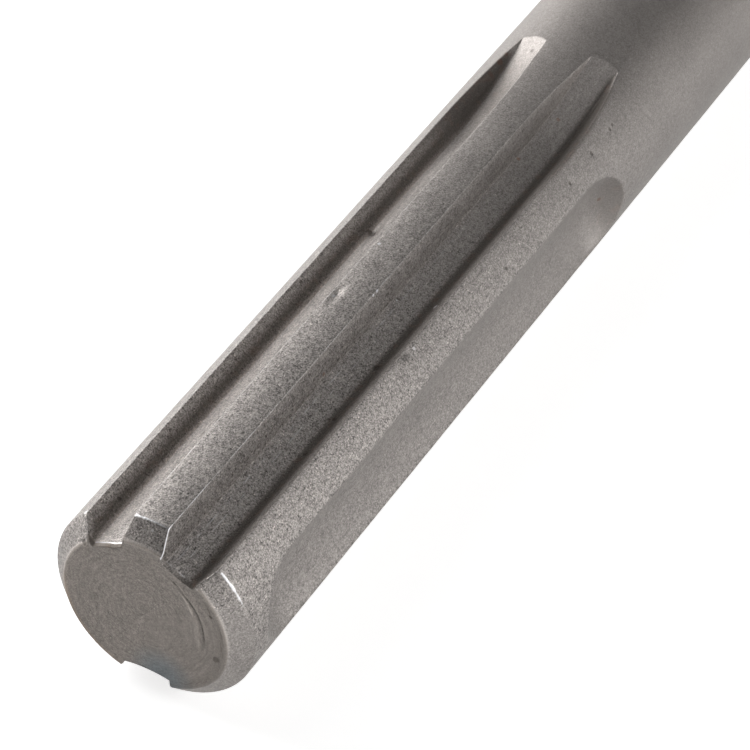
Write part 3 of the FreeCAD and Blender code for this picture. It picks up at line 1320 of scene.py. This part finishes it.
class NodeBench:
    """Makes the nodes of one material or world."""

    def __init__(self, tree: bpy.types.NodeTree) -> None:
        """Empty the tree and keep it."""
        tree.nodes.clear()
        self.tree = tree

    def node(self, kind: str, settings: dict[str, object] | None = None,
             inputs: dict[str | int, object] | None = None) -> bpy.types.Node:
        """Make a node.

        Args:
            kind: The node's type.
            settings: Its settings, such as a Math node's operation.
            inputs: Values, or sockets to link from, by the input's name or number.

        Returns:
            The node.
        """
        made = self.tree.nodes.new(kind)
        for name, value in (settings or {}).items():
            setattr(made, name, value)
        for name, value in (inputs or {}).items():
            source = value.socket if isinstance(value, Value) else value
            if isinstance(source, bpy.types.NodeSocket):
                self.tree.links.new(source, made.inputs[name])
            else:
                made.inputs[name].default_value = source
        return made

    def math(self, operation: str, *terms: "Value | float") -> Value:
        """Make a Math node of numbers and values."""
        made = self.node("ShaderNodeMath", {"operation": operation}, dict(enumerate(terms)))
        return Value(self, made.outputs[0])

    def mix(self, factor: Value | float, first: object, second: object,
            blend: str = "MIX") -> bpy.types.NodeSocket:
        """Mix two colours by a factor, and give the colour's socket."""
        first, second = ((*colour, 1.0) if isinstance(colour, tuple) else colour
                         for colour in (first, second))
        return self.node("ShaderNodeMix", {"data_type": "RGBA", "blend_type": blend},
                         {0: factor, 6: first, 7: second}).outputs[2]

    def parts(self, place: bpy.types.NodeSocket) -> tuple[Value, ...]:
        """Give the x, y and z of a place."""
        made = self.node("ShaderNodeSeparateXYZ", {}, {0: place})
        return tuple(Value(self, made.outputs[axis]) for axis in "XYZ")

    def attribute(self, name: str) -> Value:
        """Read one of the mesh's own attributes."""
        made = self.node("ShaderNodeAttribute", {"attribute_name": name})
        return Value(self, made.outputs["Fac"])

    def noise(self, place: object, scale: float, detail: float = 2.0,
              roughness: float = 0.5) -> Value:
        """Make a noise whose features are about 1 / scale apart, in metres."""
        made = self.node("ShaderNodeTexNoise", {}, {
            "Vector": place, "Scale": scale, "Detail": detail, "Roughness": roughness})
        return Value(self, made.outputs["Fac"])

    def stretched(self, place: object, scale: tuple[float, float, float]) -> bpy.types.NodeSocket:
        """Scale a place by a different number along each axis."""
        return self.node("ShaderNodeMapping", {}, {"Vector": place, "Scale": scale}).outputs[0]

    def distance(self, place: object, spot: Vector) -> Value:
        """Give the distance from a fixed spot, in metres."""
        made = self.node("ShaderNodeVectorMath", {"operation": "DISTANCE"}, {0: place, 1: spot})
        return Value(self, made.outputs["Value"])


class Mark(Enum):
    """Kinds of small mark on the steel."""

    PIT = "pit"
    RUST = "rust"
    PAINTED_GLINT = "bright"


@dataclass(frozen=True)
class Spot:
    """A small mark of the surface.

    Attributes:
        mark: Its kind.
        x: Distance from the striking face.
        angle: Angle round the bar.
        radius: Distance from the bar's axis.
        size: Half its width.
        strength: How strongly it shows, from 0 to 1.
    """

    mark: Mark
    x: float
    angle: float
    radius: float
    size: float
    strength: float = 1.0

    def centre(self) -> Vector:
        """Give the mark's middle, in metres."""
        place = outward(self.angle) * self.radius
        return Vector((self.x, place.x, place.y)) * MILLIMETRE


@dataclass(frozen=True)
class PaintedHighlightStreak:
    """A thin line along the bar, painted bright: a painted highlight on a ridge that the cutter left.

    Attributes:
        angle: Angle round the bar.
        radius: Distance from the bar's axis.
        half_width: Half its width.
        end: Where along the bar it has faded.
        strength: How strongly it shows, from 0 to 1.
    """

    angle: float
    radius: float
    half_width: float
    end: float
    strength: float


@dataclass(frozen=True)
class BlastedSteel:
    """Shot-blasted and tempered tool steel, matt, with bright worn edges; highlights, glints and the
    shade of corners and hollows are painted into its colour.

    Attributes:
        steel: Colour of the clean blasted steel.
        grime_and_shade: Colour of the soiling and painted shade in the slots' inner corners, also of
            the pits and of the dark ring by the face's rim.
        face_tint: Colour of the turned striking face.
        bright: Colour of edges worn to bare metal and painted with highlights, and of the painted
            glints.
        rust: Colour of the rust specks.
        temper_blue: Blue that heat left at the bottom of the striking face.
        temper_straw: Straw that heat left round the striking face's rim.
    """

    steel: tuple[float, float, float] = (0.36, 0.335, 0.318)
    grime_and_shade: tuple[float, float, float] = (0.075, 0.062, 0.05)
    face_tint: tuple[float, float, float] = (0.235, 0.212, 0.193)
    bright: tuple[float, float, float] = (0.86, 0.86, 0.88)
    rust: tuple[float, float, float] = (0.19, 0.08, 0.035)
    temper_blue: tuple[float, float, float] = (0.165, 0.19, 0.205)
    temper_straw: tuple[float, float, float] = (0.3, 0.21, 0.14)
    spots: tuple[Spot, ...] = (
        Spot(Mark.PIT, 0.0, 103.5, 6.59, 0.35, 0.7),
        Spot(Mark.PIT, 0.07, -46.1, 7.42, 0.3, 0.9),
        Spot(Mark.PIT, 0.03, 63.8, 6.72, 0.18, 0.8),
        Spot(Mark.PIT, 4.75, -40.3, 7.78, 0.24),
        Spot(Mark.PIT, 16.6, 39.6, 7.04, 0.22),
        Spot(Mark.PIT, 21.2, 39.6, 7.04, 0.24),
        Spot(Mark.PIT, 28.1, 38.7, 6.9, 0.35),
        Spot(Mark.PIT, 29.6, 42.5, 9.0, 0.2, 0.6),
        Spot(Mark.PIT, 33.0, -41.0, 8.53, 0.2, 0.8),
        Spot(Mark.PIT, 35.3, 18.4, 6.75, 0.2, 0.7),
        Spot(Mark.PIT, 35.7, 1.4, 9.0, 0.5, 0.25),
        Spot(Mark.PIT, 42.3, -38.5, 6.88, 0.4),
        Spot(Mark.PIT, 44.5, 55.1, 9.0, 0.22, 0.8),
        Spot(Mark.PIT, 56.4, 51.5, 9.0, 0.22, 0.9),
        Spot(Mark.PIT, 60.7, 50.0, 9.0, 0.2, 1.0),
        Spot(Mark.PIT, 64.3, 49.0, 9.0, 0.2, 0.8),
        Spot(Mark.PIT, 64.8, 48.3, 9.0, 0.2, 0.8),
        Spot(Mark.PIT, 68.1, -20.6, 8.5, 0.2, 0.4),
        Spot(Mark.RUST, 23.9, 15.1, 7.2, 0.2, 0.8),
        Spot(Mark.RUST, 56.1, 18.8, 6.75, 0.2),
        Spot(Mark.RUST, 62.3, 22.2, 7.14, 0.2, 0.8),
        Spot(Mark.RUST, 61.4, 87.5, 7.5, 0.22, 0.8),
        Spot(Mark.RUST, 64.6, -37.0, 8.6, 0.3, 0.5),
        Spot(Mark.RUST, 66.2, -35.8, 8.77, 0.35, 0.7),
        Spot(Mark.RUST, 67.3, -35.3, 8.85, 0.2, 0.6),
        # Painted glints: small highlights on burrs and dents, painted into the colour.
        Spot(Mark.PAINTED_GLINT, 1.03, 2.4, 8.48, 0.12, 0.7),
        Spot(Mark.PAINTED_GLINT, 1.68, -43.2, 9.0, 0.2),
        Spot(Mark.PAINTED_GLINT, 30.6, -7.5, 9.0, 0.28, 0.6),
        Spot(Mark.PAINTED_GLINT, 30.7, 44.2, 9.0, 0.16, 0.7),
        Spot(Mark.PAINTED_GLINT, 32.3, 10.2, 8.9, 0.14),
        Spot(Mark.PAINTED_GLINT, 32.9, 10.2, 8.9, 0.18),
        Spot(Mark.PAINTED_GLINT, 35.1, 18.8, 6.75, 0.1),
        Spot(Mark.PAINTED_GLINT, 36.5, 40.1, 7.7, 0.22, 0.8),
        Spot(Mark.PAINTED_GLINT, 37.9, -7.2, 9.0, 0.16, 0.8),
    )
    streaks: tuple[PaintedHighlightStreak, ...] = (
        PaintedHighlightStreak(21.3, 6.72, 0.06, 56.0, 0.45),
        PaintedHighlightStreak(26.3, 6.7, 0.05, 44.0, 0.4),
    )

    def marks(self, bench: NodeBench, place: object, kind: Mark, ragged: Value) -> Value:
        """Give a mask of all marks of one kind, with ragged outlines."""
        total: Value | float = 0.0
        for spot in self.spots:
            if spot.mark is not kind:
                continue
            size = spot.size * MILLIMETRE
            reach = bench.distance(place, spot.centre()) + (ragged - 0.5) * size
            total = total + reach.step(size * 1.15, size * 0.6) * spot.strength
        return total.math("MINIMUM", 1.0)

    def lines(self, bench: NodeBench, parts: tuple[Value, Value, Value], broken: Value) -> Value:
        """Give a mask of the streaks' painted highlights, broken into dashes.

        Args:
            bench: Where the nodes are made.
            parts: The place's x, y and z, in metres.
            broken: A noise that breaks the streaks up.

        Returns:
            The mask, from 0 to 1.
        """
        x, y, z = parts
        total: Value | float = 0.0
        for streak in self.streaks:
            middle = outward(streak.angle) * streak.radius * MILLIMETRE
            width = streak.half_width * MILLIMETRE
            off = ((y - middle.x) ** 2.0 + (z - middle.y) ** 2.0).math("SQRT")
            fade = x.step(streak.end * MILLIMETRE, 0.5 * streak.end * MILLIMETRE)
            total = total + off.step(width * 1.4, width * 0.5) * fade * streak.strength
        return total * broken.step(0.48, 0.64)

    def material(self) -> bpy.types.Material:
        """Make the material.

        Returns:
            The blasted steel.
        """
        made = bpy.data.materials.new("blasted_steel")
        made.use_nodes = True
        bench = NodeBench(made.node_tree)
        place = bench.node("ShaderNodeTexCoord").outputs["Object"]
        x, y, z = bench.parts(place)
        edge, painted_shade_and_dirt, milled, groove, face, painted_light, lip = map(bench.attribute, ATTRIBUTES)

        near = x.step(0.09, 0.015)
        fine = bench.noise(place, 7000.0, 2.0, 0.65)
        coarse = bench.noise(place, 2600.0, 2.0, 0.55)
        patches = bench.noise(place, 260.0, 3.0, 0.6)
        ragged = bench.noise(place, 3000.0, 2.0, 0.6)
        along = bench.stretched(place, (60.0, 3200.0, 3200.0))
        streaks = bench.noise(along, 1.0, 3.0, 0.6)
        grain = (fine - 0.5) * 1.9 + (coarse - 0.5) * 0.8
        turn = (y * -1.0).math("ARCTAN2", z)
        smooth_side = turn.step(1.0, 1.3) * x.step(0.0018, 0.0015)
        weight = (0.2 + 0.8 * near) * (1.0 - 0.55 * face) * (1.0 - 0.4 * groove)
        weight = weight * (1.0 - 0.5 * smooth_side)
        # Painted glints: a fine sparkle of the blasted facets, painted into the colour.
        painted_sparkle = bench.noise(place, 9000.0, 0.0, 0.5).step(0.66, 0.8) * weight

        rust = self.marks(bench, place, Mark.RUST, ragged)
        pits = self.marks(bench, place, Mark.PIT, ragged)
        painted_glints = self.marks(bench, place, Mark.PAINTED_GLINT, ragged)

        broken = bench.noise(bench.stretched(place, (700.0, 1500.0, 1500.0)), 1.0, 2.0, 0.7)
        # Bright edges: wear and painted highlights, with the painted highlights of the cutter's
        # streaks.
        worn = (edge + (broken - 0.5) * 0.9).step(0.45, 0.85)
        worn = worn + self.lines(bench, (x, y, z), broken)

        radius = ((y * y) + (z * z)).math("SQRT")
        wobble = bench.noise(place, 420.0, 2.0, 0.5)
        rings = (radius * 26000.0 + wobble * 14.0).math("SINE")
        arcs = bench.noise(bench.node("ShaderNodeCombineXYZ", {}, {
            0: radius * 4600.0 + wobble * 4.5, 1: turn * 4.2,
            2: wobble}).outputs[0], 1.0, 3.0, 0.65)
        rim_dirt = (radius.step(0.0063, 0.0069) * radius.step(0.00735, 0.0071)
                    * y.step(0.002, -0.003) * arcs.step(0.48, 0.62) * face)

        # Tone: grain, patches and milling streaks are the steel's own; the fine sparkle is painted
        # glints, the lip's lighter ridge and darker furrow are painted highlight and shade, and the
        # lighter slot floors and rim are painted light.
        tone = 1.0 + grain * weight * 1.7 + (patches - 0.5) * 0.22 + painted_sparkle * 0.9
        tone = tone + (streaks - 0.5) * milled * 0.35 + (arcs - 0.5) * face * 0.9
        tone = tone + lip * (0.1 + 0.4 * coarse + 0.45 * arcs.step(0.4, 0.6)) + painted_light * 0.75
        steel = bench.mix(face, self.steel, self.face_tint)
        heat = bench.distance(place, Vector((0.0, -0.0014, -0.0062))).step(0.0036, 0.0006)
        steel = bench.mix(heat * face * 0.8, steel, self.temper_blue)
        straw = radius.step(0.0069, 0.0075) * x.step(0.0007, 0.0002) * z.step(0.002, -0.003)
        straw = straw * y.step(0.001, 0.004)
        steel = bench.mix(straw * 0.7, steel, self.temper_straw)
        steel = bench.mix(rim_dirt * 0.5, steel, self.grime_and_shade)
        shade = bench.node("ShaderNodeCombineColor", {}, {0: tone, 1: tone, 2: tone}).outputs[0]
        colour = bench.mix(1.0, steel, shade, "MULTIPLY")
        # Painted shade, with soiling, in corners and hollows, in the dark corner colour.
        dirt_and_shade = (painted_shade_and_dirt * (0.55 + 0.5 * coarse)).math("MINIMUM", 0.9)
        specks = bench.noise(place, 1100.0, 2.0, 0.6).step(0.52, 0.66)
        colour = bench.mix(dirt_and_shade, colour, bench.mix(specks * 0.3, self.grime_and_shade, self.rust))
        colour = bench.mix(pits * 0.6, colour, self.grime_and_shade)
        colour = bench.mix(rust * 0.6, colour, self.rust)
        # Worn edges and painted highlights and glints, in a near-white colour.
        colour = bench.mix((worn * 0.85 + painted_glints * 0.8).math("MINIMUM", 1.0), colour, self.bright)

        rough = 0.5 + grain * 0.15 * weight + (patches - 0.5) * 0.08 - worn * 0.18 - painted_glints * 0.15
        rough = rough + rust * 0.25 + pits * 0.2 + dirt_and_shade * 0.25
        height = grain * weight * 0.5 + (streaks - 0.5) * milled * 0.6
        height = height + (rings * 0.1 + (arcs - 0.5) * 1.4) * face
        height = height - pits * 1.4 - rust * 0.5 - rim_dirt * 0.8
        bump = bench.node("ShaderNodeBump", {}, {
            "Height": height, "Strength": 1.0, "Distance": 0.000035})
        metal = (1.0 - rust * 0.6 - pits * 0.3 - dirt_and_shade * 0.45).math("MAXIMUM", 0.0)
        shader = bench.node("ShaderNodeBsdfPrincipled", {}, {
            "Base Color": colour, "Roughness": rough, "Metallic": metal,
            "Normal": bump.outputs[0]})
        bench.node("ShaderNodeOutputMaterial", {}, {"Surface": shader.outputs[0]})
        return made


@dataclass(frozen=True)
class Lamp:
    """A soft square lamp aimed at the chisel.

    Attributes:
        name: The lamp's name.
        heading: Direction it stands in, in degrees from +X towards +Y.
        elevation: Its height above the floor as an angle.
        distance: Its distance from the target, in metres.
        size: Its side, in metres.
        power: Its power, in watts.
    """

    name: str
    heading: float
    elevation: float
    distance: float
    size: float
    power: float

    def build(self, target: Vector) -> bpy.types.Object:
        """Place the lamp and aim it at the target."""
        data = bpy.data.lights.new(self.name, "AREA")
        data.shape = "SQUARE"
        data.size = self.size
        data.energy = self.power
        heading, elevation = math.radians(self.heading), math.radians(self.elevation)
        away = Vector((math.cos(heading) * math.cos(elevation),
                       math.sin(heading) * math.cos(elevation), math.sin(elevation)))
        item = bpy.data.objects.new(self.name, data)
        item.matrix_world = Matrix.Translation(target + away * self.distance) @ \
            away.to_track_quat("Z", "Y").to_matrix().to_4x4()
        bpy.context.scene.collection.objects.link(item)
        return item


@dataclass
class Studio:
    """The pale floor, the soft lamps, the surroundings and the camera."""

    floor_level: float = -0.009
    floor_size: float = 6.0
    target: Vector = field(default_factory=lambda: Vector((0.035, 0.0, 0.0)))
    lamps: tuple[Lamp, ...] = (
        Lamp("left_lamp", 80.0, 28.0, 0.6, 0.5, 3.2),
        Lamp("upper_left_lamp", 80.0, 50.0, 0.6, 0.5, 0.35),
        Lamp("far_lamp", 20.0, 60.0, 0.6, 0.5, 0.3),
        Lamp("near_right_lamp", -80.0, 20.0, 0.3, 0.17, 0.21),
        Lamp("upper_right_lamp", -75.0, 45.0, 0.6, 0.5, 0.38),
        Lamp("front_right_lamp", -115.0, 20.0, 0.5, 0.4, 0.49),
    )
    camera_place: Vector = field(default_factory=lambda: Vector((-158.91, -108.23, 203.45)))
    camera_right: Vector = field(default_factory=lambda: Vector((0.49764, -0.86727, 0.01418)))
    camera_up: Vector = field(default_factory=lambda: Vector((0.58526, 0.34780, 0.73247)))
    focal_pixels: float = 3639.5
    photo_width: float = 750.0
    sensor_width: float = 36.0

    def build_camera(self) -> None:
        """Place the camera at the photograph's viewing angle."""
        data = bpy.data.cameras.new("photo_camera")
        data.sensor_width = self.sensor_width
        data.lens = self.focal_pixels / self.photo_width * self.sensor_width
        data.clip_start = 0.01
        data.clip_end = 20.0
        data.dof.use_dof = False
        right = self.camera_right.normalized()
        up = (self.camera_up - right * self.camera_up.dot(right)).normalized()
        turn = Matrix((right, up, right.cross(up))).transposed()
        item = bpy.data.objects.new("photo_camera", data)
        item.matrix_world = Matrix.Translation(self.camera_place * MILLIMETRE) @ turn.to_4x4()
        bpy.context.scene.collection.objects.link(item)
        bpy.context.scene.camera = item

    def build_floor(self) -> None:
        """Make the pale floor, which looks white and keeps a soft shadow."""
        mesh = bmesh.new()
        bmesh.ops.create_grid(mesh, x_segments=4, y_segments=4, size=self.floor_size / 2,
                              matrix=Matrix.Translation((0.14, 0.0, self.floor_level)))
        floor = finished_object(mesh, "floor")
        paint = bpy.data.materials.new("pale_floor")
        paint.use_nodes = True
        bench = NodeBench(paint.node_tree)
        path = bench.node("ShaderNodeLightPath")
        camera = Value(bench, path.outputs["Is Camera Ray"])
        mirrored = bench.math("MAXIMUM", Value(bench, path.outputs["Is Glossy Ray"]),
                              Value(bench, path.outputs["Is Transmission Ray"]))
        matt = bench.node("ShaderNodeBsdfDiffuse", {}, {"Color": (0.8, 0.8, 0.8, 1.0)})
        glow = bench.node("ShaderNodeEmission", {}, {"Strength": camera * 0.7 + mirrored * 0.36})
        both = bench.node("ShaderNodeAddShader", {}, {0: matt.outputs[0], 1: glow.outputs[0]})
        bench.node("ShaderNodeOutputMaterial", {}, {"Surface": both.outputs[0]})
        floor.data.materials.append(paint)

    def build_surroundings(self) -> None:
        """Make the studio round the chisel, bright low down and dark overhead."""
        world = bpy.data.worlds.new("studio")
        world.use_nodes = True
        bpy.context.scene.world = world
        bench = NodeBench(world.node_tree)
        ahead, left, height = bench.parts(bench.node("ShaderNodeTexCoord").outputs["Generated"])
        wall = height.step(0.75, 0.1) * (0.21 - 0.21 * left + 0.06 * ahead + 0.06)
        window = height.step(0.35, 0.05) * (0.5 + 0.5 * left) ** 2.0 * 1.6
        camera = Value(bench, bench.node("ShaderNodeLightPath").outputs["Is Camera Ray"])
        level = (wall + window) * (1.0 - camera) + camera
        light = bench.node("ShaderNodeBackground", {}, {
            "Color": (1.0, 0.99, 0.98, 1.0), "Strength": level})
        bench.node("ShaderNodeOutputWorld", {}, {"Surface": light.outputs[0]})

    def build(self) -> None:
        """Make the whole studio."""
        self.build_camera()
        self.build_floor()
        self.build_surroundings()
        for lamp in self.lamps:
            lamp.build(self.target)
        bpy.context.scene.view_settings.view_transform = "Standard"


def main() -> None:
    """Build the chisel and the studio, and report each piece."""
    chisel = ChiselBody().build()
    chisel.data.materials.append(BlastedSteel().material())
    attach(chisel, "root")
    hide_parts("chisel")
    LOG.info("chisel_body: %d faces", len(chisel.data.polygons))
    Studio().build()
    LOG.info("studio: floor, lamps and camera")


if __name__ == "__main__":
    main()
